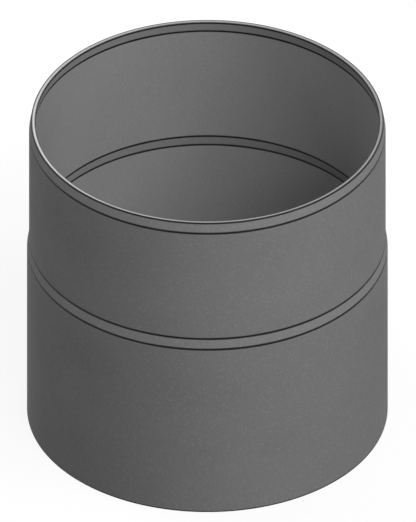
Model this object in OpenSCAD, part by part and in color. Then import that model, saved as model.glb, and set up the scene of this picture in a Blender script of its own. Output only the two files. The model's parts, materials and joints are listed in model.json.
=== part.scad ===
// Stove pipe section: one tube of rolled sheet steel with an open socket at its foot,
// a sloping step, a narrower spigot above it, and a short lead-in under the rim.
// It stands on the socket's mouth, with its axis on Z and its origin at the foot.

/* [Flue] */
// Inside diameter of the socket, which is the flue's nominal size
bore_d = 150; // [80:5:250]
// Thickness of the sheet steel
wall = 2; // [1:0.5:3]

/* [Lengths] */
// Height of the socket, from its mouth up to the step
socket_len = 85; // [40:5:500]
// Height of the sloping step between socket and spigot
step_len = 5; // [3:0.5:10]
// Height of the spigot's straight wall
spigot_len = 55; // [25:5:200]
// Height of the sloping lead-in under the rim
lead_in_len = 5; // [3:0.5:10]

/* [Forming] */
// Slope of the step and of the lead-in against the pipe's axis, in degrees
slope = 10; // [5:1:20]
// Radius of each bend on its tight side
bend_r = 3; // [1:0.5:6]
// Width that deburring takes off each corner of the cut ends
edge_break = 0.3; // [0.1:0.1:0.4]

/* [Hidden] */
// Sides that draw a full circle
$fn = 180;

// Flat steps that draw one bend of the sheet
bend_steps = 4;

// Outer face of the sheet in section, X away from the pipe's axis and Y up it, as it
// would be with sharp bends
socket_r = bore_d / 2 + wall;
spigot_r = socket_r - step_len * tan(slope);
rim_r = spigot_r - lead_in_len * tan(slope);
step_top = socket_len + step_len;
spigot_top = step_top + spigot_len;
foot_corner = [socket_r, 0];
rim_corner = [rim_r, spigot_top + lead_in_len];
bends = [[socket_r, socket_len], [spigot_r, step_top], [spigot_r, spigot_top]];

// Way the sheet runs into each bend, in degrees from the X axis, and how far it turns
// there, positive towards the pipe's axis
up = 90;
headings = [up, up + slope, up];
turns = [slope, -slope, slope];

// Unit vectors along the sheet and square to it, out of its outer face
function along(heading) = [cos(heading), sin(heading)];
function outward(heading) = [sin(heading), -cos(heading)];

function reversed(points) = [for (i = [len(points) - 1 : -1 : 0]) points[i]];

// Arc of one bend, on the face of the sheet that lies at a depth below its outer face
function bend_arc(i, depth) =
    let (
        side = sign(turns[i]),
        outer_face_r = side > 0 ? bend_r + wall : bend_r,
        face_r = outer_face_r - side * depth,
        half_turn = turns[i] / 2,
        centre = bends[i]
            - side * outer_face_r / cos(half_turn) * outward(headings[i] + half_turn)
    )
    [for (n = [0 : bend_steps])
        centre + side * face_r * outward(headings[i] + turns[i] * n / bend_steps)];

// All bends of one face of the sheet, from the foot to the rim
function face_line(depth) = [for (i = [0 : len(bends) - 1]) each bend_arc(i, depth)];

// Cut end of the sheet from its inner to its outer face, with both corners broken.
// inwards is the heading from the cut into the sheet
function cut_end(outer_corner, out, inwards) =
    let (
        inner_corner = outer_corner - wall * out,
        broken = edge_break * along(inwards)
    )
    [
        inner_corner + broken,
        inner_corner + edge_break * out,
        outer_corner - edge_break * out,
        outer_corner + broken
    ];

// The sheet cut through along the pipe's axis
module sheet_section() {
    foot_end = cut_end(foot_corner, outward(up), up);
    rim_end = cut_end(rim_corner, outward(up + slope), up + slope + 180);
    polygon(concat(
        foot_end,
        face_line(0),
        reversed(rim_end),
        reversed(face_line(wall))
    ));
}

// The whole pipe section, in cast-iron grey stove paint
module pipe_section() {
    color("dimgray")
        rotate_extrude()
            sheet_section();
}

pipe_section();
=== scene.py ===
"""Stove pipe section: its painted sheet steel, and a plain pale studio around it."""

import json
import math

import bpy
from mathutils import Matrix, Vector


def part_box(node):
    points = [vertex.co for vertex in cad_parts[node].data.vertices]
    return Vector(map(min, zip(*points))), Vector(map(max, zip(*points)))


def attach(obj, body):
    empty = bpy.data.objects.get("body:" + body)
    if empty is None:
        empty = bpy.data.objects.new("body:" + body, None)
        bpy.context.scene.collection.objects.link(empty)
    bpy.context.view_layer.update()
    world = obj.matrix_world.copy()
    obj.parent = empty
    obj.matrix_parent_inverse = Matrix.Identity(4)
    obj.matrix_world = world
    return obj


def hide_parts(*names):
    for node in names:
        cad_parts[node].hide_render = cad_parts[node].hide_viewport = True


bl_info = {
    "name": "Stove Pipe Section",
    "version": (1, 0, 0),
    "blender": (4, 5, 0),
    "location": "3D View > Sidebar > Stove Pipe",
    "description": "Rolls a stove pipe section from painted sheet steel and lights it in a studio",
    "category": "Object",
}

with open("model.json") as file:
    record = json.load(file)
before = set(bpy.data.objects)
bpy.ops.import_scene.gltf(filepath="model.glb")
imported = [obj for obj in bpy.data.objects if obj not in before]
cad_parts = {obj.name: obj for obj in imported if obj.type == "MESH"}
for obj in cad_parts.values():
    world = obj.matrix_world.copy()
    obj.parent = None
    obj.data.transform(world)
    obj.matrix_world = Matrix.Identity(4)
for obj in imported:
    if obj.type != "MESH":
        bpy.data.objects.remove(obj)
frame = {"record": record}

MM = 0.001
NODE = "pipe_section"

cad_low, cad_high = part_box(NODE)
mounts = {mount["name"]: mount for mount in frame["record"]["mounts"]}
SOCKET_R = mounts["socket"]["dims"]["r_mm"] * MM
SPIGOT_R = mounts["spigot"]["dims"]["r_mm"] * MM
STEP_LENGTH = 5 * MM
STEP_SLOPE = math.atan((cad_high.x - SPIGOT_R) / STEP_LENGTH)


def linear(hex_colour):
    """An sRGB hex colour such as "6c6c6c" as linear red, green and blue."""
    shares = [int(hex_colour[i : i + 2], 16) / 255 for i in (0, 2, 4)]
    return tuple(s / 12.92 if s <= 0.04045 else ((s + 0.055) / 1.055) ** 2.4 for s in shares)


def colour_property(name, description, hex_colour):
    """A colour that a user can change, with an sRGB hex default."""
    return bpy.props.FloatVectorProperty(
        name=name,
        description=description,
        default=linear(hex_colour),
        size=3,
        min=0.0,
        max=1.0,
        subtype="COLOR",
    )


def length_property(name, description, default):
    """A length in metres that a user can change."""
    return bpy.props.FloatProperty(
        name=name,
        description=description,
        default=default,
        min=0.0,
        precision=5,
        unit="LENGTH",
    )


class PipeSizes(bpy.types.PropertyGroup):
    """The sheet's sizes, measured on its outer face."""

    bore: length_property("Bore", "Inside diameter of the socket", 2 * SOCKET_R)
    wall: length_property("Wall", "Thickness of the sheet steel", cad_high.x - SOCKET_R)
    socket: length_property("Socket", "Height of the socket, up to the step", 85 * MM)
    step: length_property("Step", "Height of the sloping step", STEP_LENGTH)
    spigot: length_property("Spigot", "Height of the spigot's straight wall", 55 * MM)
    lead_in: length_property("Lead-in", "Height of the lead-in under the rim", 5 * MM)
    slope: bpy.props.FloatProperty(
        name="Slope",
        description="Slope of the step and the lead-in against the pipe's axis",
        default=STEP_SLOPE,
        min=0.0,
        max=math.radians(45),
        unit="ROTATION",
    )
    bend: length_property("Bend", "Radius of each bend on its tight side", 3 * MM)
    bend_steps: bpy.props.IntProperty(
        name="Bend Steps", description="Points along each bend, past its first", default=5, min=1
    )
    edge: length_property("Edge", "Radius that deburring leaves on the cut ends", 0.3 * MM)
    sides: bpy.props.IntProperty(
        name="Sides", description="Faces in one turn of the pipe", default=288, min=48, max=512
    )


class PipeFinish(bpy.types.PropertyGroup):
    """The colours of the paint and of the bare steel, with the light and shade painted on them."""

    paint: colour_property("Paint", "Cast-iron grey stove paint", "6c6c6c")
    # Painted light: how much paler the paint is made inside, against the shade there
    thin_coat: bpy.props.FloatProperty(
        name="Inside lift",
        description="Tone of the one coat inside, against the two outside",
        default=1.15,
        min=0.0,
    )
    # Paler colour painted on the brightest flakes, as painted glints
    mica: colour_property("Mica", "Mica flakes in the paint", "7e7e7e")
    # Colour of the painted shade: dark lines painted along the bends, the foot and the rim's
    # edges, as crease and edge shade
    rubbed: colour_property("Rubbed", "Paint that tools have rubbed dark", "101010")
    # Widths of the painted shade lines, along the bends and along the foot and the rim
    roller_width: length_property("Roller width", "Width of a forming roller's line", 1.3 * MM)
    wheel_width: length_property("Wheel width", "Width of the deburring wheel's line", 1.7 * MM)
    steel: colour_property("Steel", "Bare cut ends of the sheet", "929291")
    # How far the painted shade reaches onto each edge of a cut end
    creep: length_property("Creep", "How far paint creeps over a cut end", 0.6 * MM)


class StudioLook(bpy.types.PropertyGroup):
    """Where the camera stands, and how pale the room is."""

    elevation: bpy.props.FloatProperty(
        name="Elevation",
        description="Height of the camera above the horizon",
        default=math.atan(1 / math.sqrt(2)),
        unit="ROTATION",
    )
    view_height: length_property("View height", "Height of what the camera sees", 222.8 * MM)
    aim_side: length_property("Aim side", "Aim of the camera, right of the axis", 0.27 * MM)
    aim_height: length_property("Aim height", "Aim of the camera, above the floor", 76.97 * MM)
    daylight: bpy.props.FloatProperty(
        name="Daylight", description="Level of the light from all round", default=0.2, min=0.0
    )
    floor: colour_property("Floor", "Matt board that the pipe stands on", "505050")
    lift: bpy.props.FloatProperty(
        name="Lift", description="Level that the board adds to what the camera sees", default=0.87
    )
    clear_from: length_property("Clear from", "Radius at which the board turns white", 180 * MM)
    clear_to: length_property("Clear to", "Radius from which the board is plain white", 360 * MM)


def add_node(tree, kind, inputs=None, **settings):
    """Adds one node with these settings and these values or links, and returns its outputs."""
    node = tree.nodes.new(kind)
    for name, value in settings.items():
        setattr(node, name, value)
    for name, value in (inputs or {}).items():
        named = [socket for socket in node.inputs if socket.enabled and socket.name == name]
        socket = named[0] if named else node.inputs[name]
        if isinstance(value, bpy.types.NodeSocket):
            tree.links.new(value, socket)
        else:
            socket.default_value = value
    return {socket.name: socket for socket in node.outputs if socket.enabled}


LATHE_INPUTS = {
    "Bore": "NodeSocketFloat",
    "Wall": "NodeSocketFloat",
    "Socket": "NodeSocketFloat",
    "Step": "NodeSocketFloat",
    "Spigot": "NodeSocketFloat",
    "Lead-in": "NodeSocketFloat",
    "Slope": "NodeSocketFloat",
    "Bend": "NodeSocketFloat",
    "Bend Steps": "NodeSocketInt",
    "Sides": "NodeSocketInt",
    "Material": "NodeSocketMaterial",
}


def at_each_corner(tree, values):
    """A size that differs from corner to corner of the outline, from the foot to the rim."""
    switch = tree.nodes.new("GeometryNodeIndexSwitch")
    switch.data_type = "FLOAT"
    while len(switch.index_switch_items) < len(values):
        switch.index_switch_items.new()
    tree.links.new(add_node(tree, "GeometryNodeInputIndex")["Index"], switch.inputs["Index"])
    for i, value in enumerate(values):
        if isinstance(value, bpy.types.NodeSocket):
            tree.links.new(value, switch.inputs[str(i)])
        else:
            switch.inputs[str(i)].default_value = value
    return switch.outputs[0]


def sheet_lathe():
    """A node tree that turns the outer face of the sheet round the pipe's axis."""
    tree = bpy.data.node_groups.new("sheet_lathe", "GeometryNodeTree")
    for name, kind in LATHE_INPUTS.items():
        tree.interface.new_socket(name=name, in_out="INPUT", socket_type=kind)
    tree.interface.new_socket(name="Geometry", in_out="OUTPUT", socket_type="NodeSocketGeometry")
    size = add_node(tree, "NodeGroupInput")

    slant = add_node(tree, "ShaderNodeMath", {0: size["Slope"]}, operation="TANGENT")["Value"]
    bore_r = add_node(tree, "ShaderNodeMath", {0: size["Bore"], 1: 0.5}, operation="MULTIPLY")
    foot_r = add_node(tree, "ShaderNodeMath", {0: bore_r["Value"], 1: size["Wall"]})["Value"]
    radii, heights = [foot_r], [0.0]
    for name, slopes in (("Socket", False), ("Step", True), ("Spigot", False), ("Lead-in", True)):
        radius = radii[-1]
        if slopes:
            inwards = {0: size[name], 1: slant}
            drop = add_node(tree, "ShaderNodeMath", inwards, operation="MULTIPLY")["Value"]
            narrower = {0: radius, 1: drop}
            radius = add_node(tree, "ShaderNodeMath", narrower, operation="SUBTRACT")["Value"]
        radii.append(radius)
        heights.append(add_node(tree, "ShaderNodeMath", {0: heights[-1], 1: size[name]})["Value"])

    # The outer face is on the wide side of a bend that turns towards the axis
    wide = add_node(tree, "ShaderNodeMath", {0: size["Bend"], 1: size["Wall"]})["Value"]
    bends = [0.0, wide, size["Bend"], wide, 0.0]

    # A profile's X runs out from its rail and its Y runs down, so heights are negative here
    out = {0: at_each_corner(tree, radii), 1: foot_r}
    down = {0: at_each_corner(tree, heights), 1: -1.0}
    place = {
        "X": add_node(tree, "ShaderNodeMath", out, operation="SUBTRACT")["Value"],
        "Y": add_node(tree, "ShaderNodeMath", down, operation="MULTIPLY")["Value"],
    }
    place = add_node(tree, "ShaderNodeCombineXYZ", place)["Vector"]
    line = add_node(tree, "GeometryNodeCurvePrimitiveLine")["Curve"]
    line = add_node(tree, "GeometryNodeResampleCurve", {"Curve": line, "Count": len(heights)})
    line = {"Geometry": line["Curve"], "Position": place}
    line = add_node(tree, "GeometryNodeSetPosition", line)["Geometry"]
    fillet = {
        "Curve": line,
        "Count": size["Bend Steps"],
        "Radius": at_each_corner(tree, bends),
        "Limit Radius": True,
    }
    outline = add_node(tree, "GeometryNodeFilletCurve", fillet, mode="POLY")["Curve"]
    rail = {"Resolution": size["Sides"], "Radius": foot_r}
    rail = add_node(tree, "GeometryNodeCurvePrimitiveCircle", rail)["Curve"]
    turned = {"Curve": rail, "Profile Curve": outline}
    sheet = add_node(tree, "GeometryNodeCurveToMesh", turned)["Mesh"]
    sheet = add_node(tree, "GeometryNodeFlipFaces", {"Mesh": sheet})["Mesh"]
    sheet = add_node(tree, "GeometryNodeSetShadeSmooth", {"Geometry": sheet})["Geometry"]
    sheet = add_node(tree, "GeometryNodeRealizeInstances", {"Geometry": sheet})["Geometry"]
    painted = {"Geometry": sheet, "Material": size["Material"]}
    sheet = add_node(tree, "GeometryNodeSetMaterial", painted)["Geometry"]
    add_node(tree, "NodeGroupOutput", {"Geometry": sheet})
    return tree


def lathe_mesh(name, values):
    """The plain mesh that the lathe's tree makes from these named values."""
    rough = bpy.data.objects.new(name + "_rough", bpy.data.meshes.new(name + "_rough"))
    bpy.context.scene.collection.objects.link(rough)
    modifier = rough.modifiers.new("lathe", "NODES")
    modifier.node_group = sheet_lathe()
    for item in modifier.node_group.interface.items_tree:
        if item.in_out == "INPUT":
            modifier[item.identifier] = values[item.name]
    graph = bpy.context.evaluated_depsgraph_get()
    mesh = bpy.data.meshes.new_from_object(rough.evaluated_get(graph))
    mesh.name = name
    bpy.data.objects.remove(rough)
    return mesh


def new_material(name):
    """An empty material that is built from nodes, and its tree."""
    material = bpy.data.materials.new(name)
    material.use_nodes = True
    material.node_tree.nodes.clear()
    return material, material.node_tree


def sheet_place(tree):
    """Where a point lies on the pipe: its place, its distance from the axis and its height."""
    place = add_node(tree, "ShaderNodeTexCoord")["Object"]
    level = {0: place, 1: (1.0, 1.0, 0.0)}
    level = add_node(tree, "ShaderNodeVectorMath", level, operation="MULTIPLY")["Vector"]
    radius = add_node(tree, "ShaderNodeVectorMath", {0: level}, operation="LENGTH")["Value"]
    height = add_node(tree, "ShaderNodeSeparateXYZ", {"Vector": place})["Z"]
    return place, radius, height


def section_lines(sizes):
    """Lines round the pipe, each with a point's radius and height and the lean of the sheet.

    They are the foot, the step's foot and top, the lead-in's foot, and the rim.
    """
    foot_r = sizes.bore / 2 + sizes.wall
    spigot_r = foot_r - sizes.step * math.tan(sizes.slope)
    rim_r = spigot_r - sizes.lead_in * math.tan(sizes.slope)
    step_top = sizes.socket + sizes.step
    spigot_top = step_top + sizes.spigot
    return (
        (foot_r, 0.0, 0.0),
        (foot_r, sizes.socket, sizes.slope / 2),
        (spigot_r, step_top, sizes.slope / 2),
        (spigot_r, spigot_top, sizes.slope / 2),
        (rim_r, spigot_top + sizes.lead_in, sizes.slope),
    )


def measured_along(tree, radius, height, line, towards_axis):
    """Distance from a line, up the sheet's face, or in from it towards the pipe's axis."""
    line_r, line_z, lean = line
    out, up = (-math.sin(lean), math.cos(lean))
    if towards_axis:
        out, up = (-math.cos(lean), -math.sin(lean))
    share = {0: radius, 1: out, 2: -line_r * out - line_z * up}
    share = add_node(tree, "ShaderNodeMath", share, operation="MULTIPLY_ADD")["Value"]
    whole = {0: height, 1: up, 2: share}
    return add_node(tree, "ShaderNodeMath", whole, operation="MULTIPLY_ADD")["Value"]


def rubbed_lines(tree, place, radius, height, sizes, finish):
    """1 on the painted shade lines along the bends, the foot and the rim, and 0 elsewhere."""
    foot, *bends, rim = section_lines(sizes)
    widths = [(bend, finish.roller_width) for bend in bends]
    widths += [(foot, finish.wheel_width), (rim, finish.wheel_width)]
    # Distance from the nearest line's middle, counted in that line's width
    nearest = 1.0
    for line, width in widths:
        away = measured_along(tree, radius, height, line, towards_axis=False)
        away = {0: away, 1: 1 / width}
        away = add_node(tree, "ShaderNodeMath", away, operation="MULTIPLY")["Value"]
        away = add_node(tree, "ShaderNodeMath", {0: away}, operation="ABSOLUTE")["Value"]
        nearest = add_node(tree, "ShaderNodeMath", {0: away, 1: nearest}, operation="MINIMUM")
        nearest = nearest["Value"]
    # The painted shade lines widen and narrow at random, over about 15 mm
    line_sway = add_node(tree, "ShaderNodeTexNoise", {"Vector": place, "Scale": 1 / (15 * MM)})["Fac"]
    reach = add_node(tree, "ShaderNodeMapRange", {"Value": line_sway, "To Min": 0.4, "To Max": 0.7})
    soft = {"Value": nearest, "From Min": reach["Result"], "From Max": 0.25, "To Min": 0.0}
    return add_node(tree, "ShaderNodeMapRange", soft, interpolation_type="SMOOTHSTEP")["Result"]


def stove_paint(finish, sizes):
    """Silicone stove paint with mica, sprayed matt on blasted sheet steel.

    The eye gets a dead-matt, faintly grainy grey. It clouds a little from pass to pass of the
    spray gun, its flakes are painted paler as painted glints, and painted shade lines, dark and
    smoother, run along its bends and edges.
    """
    material, tree = new_material("silicone_stove_paint")
    place, radius, height = sheet_place(tree)

    # The gun's passes overlap every 45 mm up the pipe, and drift slowly round it
    drift = {0: place, 1: (0.15, 0.15, 1.0)}
    drift = add_node(tree, "ShaderNodeVectorMath", drift, operation="MULTIPLY")["Vector"]
    passes = {"Vector": drift, "Scale": 1 / (45 * MM), "Detail": 1.0}
    passes = add_node(tree, "ShaderNodeTexNoise", passes)["Fac"]
    # Clouds of thicker and thinner paint are about 28 mm across
    clouds = {"Vector": place, "Scale": 1 / (28 * MM), "Detail": 3.0}
    clouds = add_node(tree, "ShaderNodeTexNoise", clouds)["Fac"]
    # The pigment's grain is 0.1 mm, drawn at 1.1 mm so that it shows
    grain = {"Vector": place, "Scale": 1 / (1.1 * MM), "Detail": 2.0}
    grain = add_node(tree, "ShaderNodeTexNoise", grain)["Fac"]
    # Inside, the paint is made paler as painted light, to lift the shade that the pipe casts into
    # itself. The bore is the widest inner face
    inside = {0: radius, 1: sizes.bore / 2 + 0.1 * MM}
    inside = add_node(tree, "ShaderNodeMath", inside, operation="LESS_THAN")["Value"]
    tone = {"Value": inside, "To Min": 1.0, "To Max": finish.thin_coat}
    tone = add_node(tree, "ShaderNodeMapRange", tone)["Result"]
    for pattern, amount in ((passes, 0.10), (clouds, 0.12), (grain, 0.16)):
        sway = {0: pattern, 1: amount, 2: 1 - amount / 2}
        sway = add_node(tree, "ShaderNodeMath", sway, operation="MULTIPLY_ADD")["Value"]
        tone = add_node(tree, "ShaderNodeMath", {0: tone, 1: sway}, operation="MULTIPLY")["Value"]
    coat = {0: finish.paint, "Scale": tone}
    coat = add_node(tree, "ShaderNodeVectorMath", coat, operation="SCALE")["Vector"]

    # Mica flakes are 0.1 mm across and lie at all angles, so that few of them glint. They are
    # drawn at 0.7 mm, and the brightest third of them are painted paler, as painted glints, at a
    # strength of up to one
    cells = add_node(tree, "ShaderNodeTexVoronoi", {"Vector": place, "Scale": 1 / (0.7 * MM)})
    glint = add_node(tree, "ShaderNodeSeparateColor", {"Color": cells["Color"]})["Red"]
    glint = add_node(tree, "ShaderNodeMapRange", {"Value": glint, "From Min": 0.66})["Result"]
    flake = {"Value": cells["Distance"], "From Min": 0.6, "From Max": 0.2}
    flake = add_node(tree, "ShaderNodeMapRange", flake)["Result"]
    flake = add_node(tree, "ShaderNodeMath", {0: flake, 1: glint}, operation="MULTIPLY")["Value"]
    coat = {"Factor": flake, "A": coat, "B": (*finish.mica, 1.0)}
    coat = add_node(tree, "ShaderNodeMix", coat, data_type="RGBA")["Result"]

    # Painted shade: the paint is darkened along each bend, along the foot and along the rim's
    # edges
    rubbed = rubbed_lines(tree, place, radius, height, sizes, finish)
    coat = {"Factor": rubbed, "A": coat, "B": (*finish.rubbed, 1.0)}
    coat = add_node(tree, "ShaderNodeMix", coat, data_type="RGBA")["Result"]

    # Thick paint flows out a little smoother, and the paint under the painted shade lines is
    # smoother still
    rough = {"Value": clouds, "From Min": 0.3, "From Max": 0.7, "To Min": 0.86, "To Max": 0.76}
    rough = add_node(tree, "ShaderNodeMapRange", rough)["Result"]
    rough = {"Factor": rubbed, "A": rough, "B": 0.5}
    rough = add_node(tree, "ShaderNodeMix", rough, data_type="FLOAT")["Result"]

    # Sprayed paint dries with an orange peel of about 1.4 mm, 0.02 mm high
    peel = {"Vector": place, "Scale": 1 / (1.4 * MM), "Detail": 1.0}
    peel = add_node(tree, "ShaderNodeTexNoise", peel)["Fac"]
    relief = {0: rubbed, 1: -1.0, 2: peel}
    relief = add_node(tree, "ShaderNodeMath", relief, operation="MULTIPLY_ADD")["Value"]
    normal = add_node(tree, "ShaderNodeBump", {"Height": relief, "Distance": 0.02 * MM})["Normal"]

    surface = {
        "Base Color": coat,
        "Roughness": rough,
        "IOR": 1.5,
        "Specular IOR Level": 0.12,
        "Normal": normal,
    }
    surface = add_node(tree, "ShaderNodeBsdfPrincipled", surface)["BSDF"]
    add_node(tree, "ShaderNodeOutputMaterial", {"Surface": surface})
    return material


def cut_steel(finish, sizes):
    """Mild steel, sawn square and deburred, with painted shade darkening its two edges.

    The eye gets a satin ring, paler than the paint, between two edges painted dark as shade. Fine
    lines run round it, and its tone changes slowly where the saw bit harder.
    """
    material, tree = new_material("sawn_mild_steel")
    place, radius, height = sheet_place(tree)
    # The saw's lines are 0.1 mm apart, drawn at 0.5 mm so that they show
    lines = {"W": radius, "Scale": 1 / (0.5 * MM)}
    lines = add_node(tree, "ShaderNodeTexNoise", lines, noise_dimensions="1D")["Fac"]
    # The saw bites harder and softer over about 12 mm
    bite = add_node(tree, "ShaderNodeTexNoise", {"Vector": place, "Scale": 1 / (12 * MM)})["Fac"]
    tone = 1.0
    for pattern, amount in ((lines, 0.25), (bite, 0.25)):
        sway = {0: pattern, 1: amount, 2: 1 - amount / 2}
        sway = add_node(tree, "ShaderNodeMath", sway, operation="MULTIPLY_ADD")["Value"]
        tone = add_node(tree, "ShaderNodeMath", {0: tone, 1: sway}, operation="MULTIPLY")["Value"]
    colour = {0: finish.steel, "Scale": tone}
    colour = add_node(tree, "ShaderNodeVectorMath", colour, operation="SCALE")["Vector"]

    # Depth in the sheet, on the cut end that is nearer
    foot, *_, rim = section_lines(sizes)
    upper = {0: height, 1: rim[1] / 2}
    ends = {
        "Factor": add_node(tree, "ShaderNodeMath", upper, operation="GREATER_THAN")["Value"],
        "A": measured_along(tree, radius, height, foot, towards_axis=True),
        "B": measured_along(tree, radius, height, rim, towards_axis=True),
    }
    depth = add_node(tree, "ShaderNodeMix", ends, data_type="FLOAT")["Result"]
    off_middle = {0: depth, 1: sizes.wall / 2}
    off_middle = add_node(tree, "ShaderNodeMath", off_middle, operation="SUBTRACT")["Value"]
    off_middle = add_node(tree, "ShaderNodeMath", {0: off_middle}, operation="ABSOLUTE")["Value"]
    # Painted shade: the ring's two edges are darkened in the shade colour and lose their metal, as
    # edge shade
    rim_edge_shade = {
        "Value": off_middle,
        "From Min": sizes.wall / 2 - sizes.edge - finish.creep,
        "From Max": sizes.wall / 2 - sizes.edge,
    }
    rim_edge_shade = add_node(tree, "ShaderNodeMapRange", rim_edge_shade, interpolation_type="SMOOTHSTEP")["Result"]
    colour = {"Factor": rim_edge_shade, "A": colour, "B": (*finish.rubbed, 1.0)}
    colour = add_node(tree, "ShaderNodeMix", colour, data_type="RGBA")["Result"]
    metal = {"Value": rim_edge_shade, "To Min": 1.0, "To Max": 0.0}
    metal = add_node(tree, "ShaderNodeMapRange", metal)["Result"]
    rough = {"Value": lines, "To Min": 0.3, "To Max": 0.5}
    rough = add_node(tree, "ShaderNodeMapRange", rough)["Result"]
    surface = {"Base Color": colour, "Metallic": metal, "Roughness": rough}
    surface = add_node(tree, "ShaderNodeBsdfPrincipled", surface)["BSDF"]
    add_node(tree, "ShaderNodeOutputMaterial", {"Surface": surface})
    return material


class PIPE_OT_roll(bpy.types.Operator):
    """Roll the pipe section from sheet steel, and paint it"""

    bl_idname = "stove_pipe.roll"
    bl_label = "Roll Pipe Section"

    def execute(self, context):
        sizes = context.scene.stove_pipe_sizes
        finish = context.scene.stove_pipe_finish
        mesh = lathe_mesh(
            "stove_pipe",
            {
                "Bore": sizes.bore,
                "Wall": sizes.wall,
                "Socket": sizes.socket,
                "Step": sizes.step,
                "Spigot": sizes.spigot,
                "Lead-in": sizes.lead_in,
                "Slope": sizes.slope,
                "Bend": sizes.bend,
                "Bend Steps": sizes.bend_steps,
                "Sides": sizes.sides,
                "Material": stove_paint(finish, sizes),
            },
        )
        mesh.materials.append(cut_steel(finish, sizes))
        pipe = bpy.data.objects.new("stove_pipe", mesh)
        context.scene.collection.objects.link(pipe)

        paint_slot, steel_slot = 0, 1
        sheet = pipe.modifiers.new("sheet", "SOLIDIFY")
        sheet.thickness = sizes.wall
        sheet.offset = -1.0
        sheet.use_even_offset = True
        sheet.use_quality_normals = True
        sheet.material_offset_rim = steel_slot
        deburr = pipe.modifiers.new("deburr", "BEVEL")
        deburr.width = sizes.edge
        deburr.segments = 3
        deburr.limit_method = "ANGLE"
        deburr.angle_limit = math.radians(60)
        deburr.harden_normals = True
        deburr.material = paint_slot

        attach(pipe, "root")
        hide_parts(NODE)
        return {"FINISHED"}


def towards(azimuth, elevation):
    """Direction from the pipe, with azimuth 0 in front of it and a quarter turn on its right."""
    level = math.cos(elevation)
    return Vector((math.sin(azimuth) * level, -math.cos(azimuth) * level, math.sin(elevation)))


LAMP_DISTANCE = 2.4
LAMPS = (
    # name, azimuth and elevation in degrees, width and height in metres, and the level that it
    # gives on a white face square to it
    ("key_softbox", 36, 52, 2.6, 1.4, 1.75),
    ("fill_panel", -120, 40, 1.4, 1.4, 0.52),
    ("back_panel", 155, 31, 1.4, 1.4, 0.3),
)


def add_lamp(name, azimuth, elevation, width, height, level, target):
    """Adds a softbox that faces the pipe."""
    light = bpy.data.lights.new(name, "AREA")
    light.shape = "RECTANGLE"
    light.size = width
    light.size_y = height
    # A white face at this distance then sends back light of this level
    light.energy = level * (math.pi * LAMP_DISTANCE) ** 2
    lamp = bpy.data.objects.new(name, light)
    away = towards(math.radians(azimuth), math.radians(elevation))
    lamp.location = target + away * LAMP_DISTANCE
    lamp.rotation_euler = away.to_track_quat("Z", "Y").to_euler()
    bpy.context.scene.collection.objects.link(lamp)


def seen_directly(tree):
    """1 for rays that come from the camera, a reflection or a window, and 0 for other rays."""
    path = add_node(tree, "ShaderNodeLightPath")
    seen = path["Is Camera Ray"]
    for name in ("Is Glossy Ray", "Is Transmission Ray"):
        either = {0: seen, 1: path[name]}
        seen = add_node(tree, "ShaderNodeMath", either, operation="MAXIMUM")["Value"]
    return seen


def white_room(daylight):
    """A world that looks white and lights at the given level."""
    world = bpy.data.worlds.new("white_room")
    world.use_nodes = True
    tree = world.node_tree
    tree.nodes.clear()
    level = {"Value": seen_directly(tree), "To Min": daylight, "To Max": 1.0}
    level = add_node(tree, "ShaderNodeMapRange", level)["Result"]
    sky = {"Color": (1.0, 1.0, 1.0, 1.0), "Strength": level}
    sky = add_node(tree, "ShaderNodeBackground", sky)["Background"]
    add_node(tree, "ShaderNodeOutputWorld", {"Surface": sky})
    return world


def backdrop_board(look):
    """Matt board that shows white past the pipe's shadow, and runs into the white room."""
    material, tree = new_material("backdrop_board")
    place, radius, height = sheet_place(tree)
    lift = {
        "Value": radius,
        "From Min": look.clear_from,
        "From Max": look.clear_to,
        "To Min": look.lift,
        "To Max": 1.0,
    }
    lift = add_node(tree, "ShaderNodeMapRange", lift, interpolation_type="SMOOTHSTEP")["Result"]
    lift = {0: lift, 1: seen_directly(tree)}
    lift = add_node(tree, "ShaderNodeMath", lift, operation="MULTIPLY")["Value"]
    glow = {"Color": (1.0, 1.0, 1.0, 1.0), "Strength": lift}
    glow = add_node(tree, "ShaderNodeEmission", glow)["Emission"]
    board = add_node(tree, "ShaderNodeBsdfDiffuse", {"Color": (*look.floor, 1.0)})["BSDF"]
    both = add_node(tree, "ShaderNodeAddShader", {0: board, 1: glow})["Shader"]
    add_node(tree, "ShaderNodeOutputMaterial", {"Surface": both})
    return material


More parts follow.
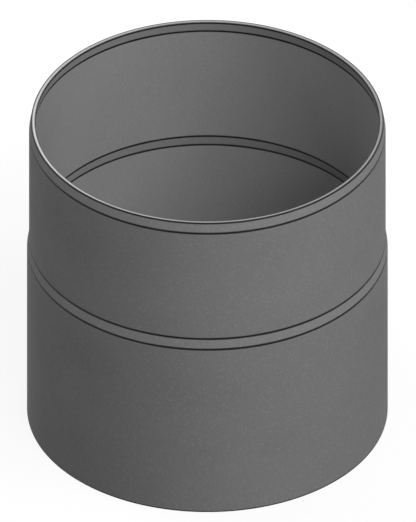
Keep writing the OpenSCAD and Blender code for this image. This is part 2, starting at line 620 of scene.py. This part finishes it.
class PIPE_OT_stage(bpy.types.Operator):
    """Set the pale floor, the lamps, the white room and the camera"""

    bl_idname = "stove_pipe.stage"
    bl_label = "Set Stage"

    def execute(self, context):
        look = context.scene.stove_pipe_studio
        scene = context.scene
        scene.world = white_room(look.daylight)
        scene.view_settings.view_transform = "Standard"

        bpy.ops.mesh.primitive_circle_add(vertices=96, radius=2.0, fill_type="NGON")
        floor = context.active_object
        floor.name = "floor"
        floor.data.materials.append(backdrop_board(look))

        centre = Vector((0.0, 0.0, cad_high.z / 2))
        for lamp in LAMPS:
            add_lamp(*lamp, centre)

        lens = bpy.data.cameras.new("camera")
        lens.type = "ORTHO"
        lens.ortho_scale = look.view_height
        camera = bpy.data.objects.new("camera", lens)
        away = towards(0.0, look.elevation)
        camera.location = Vector((look.aim_side, 0.0, look.aim_height)) + away
        camera.rotation_euler = away.to_track_quat("Z", "Y").to_euler()
        scene.collection.objects.link(camera)
        scene.camera = camera
        return {"FINISHED"}


class PIPE_PT_panel(bpy.types.Panel):
    """The pipe's sizes, colours and steps"""

    bl_idname = "PIPE_PT_panel"
    bl_label = "Stove Pipe Section"
    bl_space_type = "VIEW_3D"
    bl_region_type = "UI"
    bl_category = "Stove Pipe"

    def draw(self, context):
        for group in (
            context.scene.stove_pipe_sizes,
            context.scene.stove_pipe_finish,
            context.scene.stove_pipe_studio,
        ):
            box = self.layout.box()
            for name in type(group).__annotations__:
                box.prop(group, name)
        for operator in OPERATORS:
            self.layout.operator(operator.bl_idname)


GROUPS = {
    "stove_pipe_sizes": PipeSizes,
    "stove_pipe_finish": PipeFinish,
    "stove_pipe_studio": StudioLook,
}
OPERATORS = (PIPE_OT_roll, PIPE_OT_stage)
CLASSES = (*GROUPS.values(), *OPERATORS, PIPE_PT_panel)


def register():
    for cls in CLASSES:
        bpy.utils.register_class(cls)
    for name, group in GROUPS.items():
        setattr(bpy.types.Scene, name, bpy.props.PointerProperty(type=group))


def unregister():
    for name in GROUPS:
        delattr(bpy.types.Scene, name)
    for cls in reversed(CLASSES):
        bpy.utils.unregister_class(cls)


def main():
    register()
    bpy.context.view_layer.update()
    bpy.ops.stove_pipe.roll()
    bpy.ops.stove_pipe.stage()


if __name__ == "__main__":
    main()
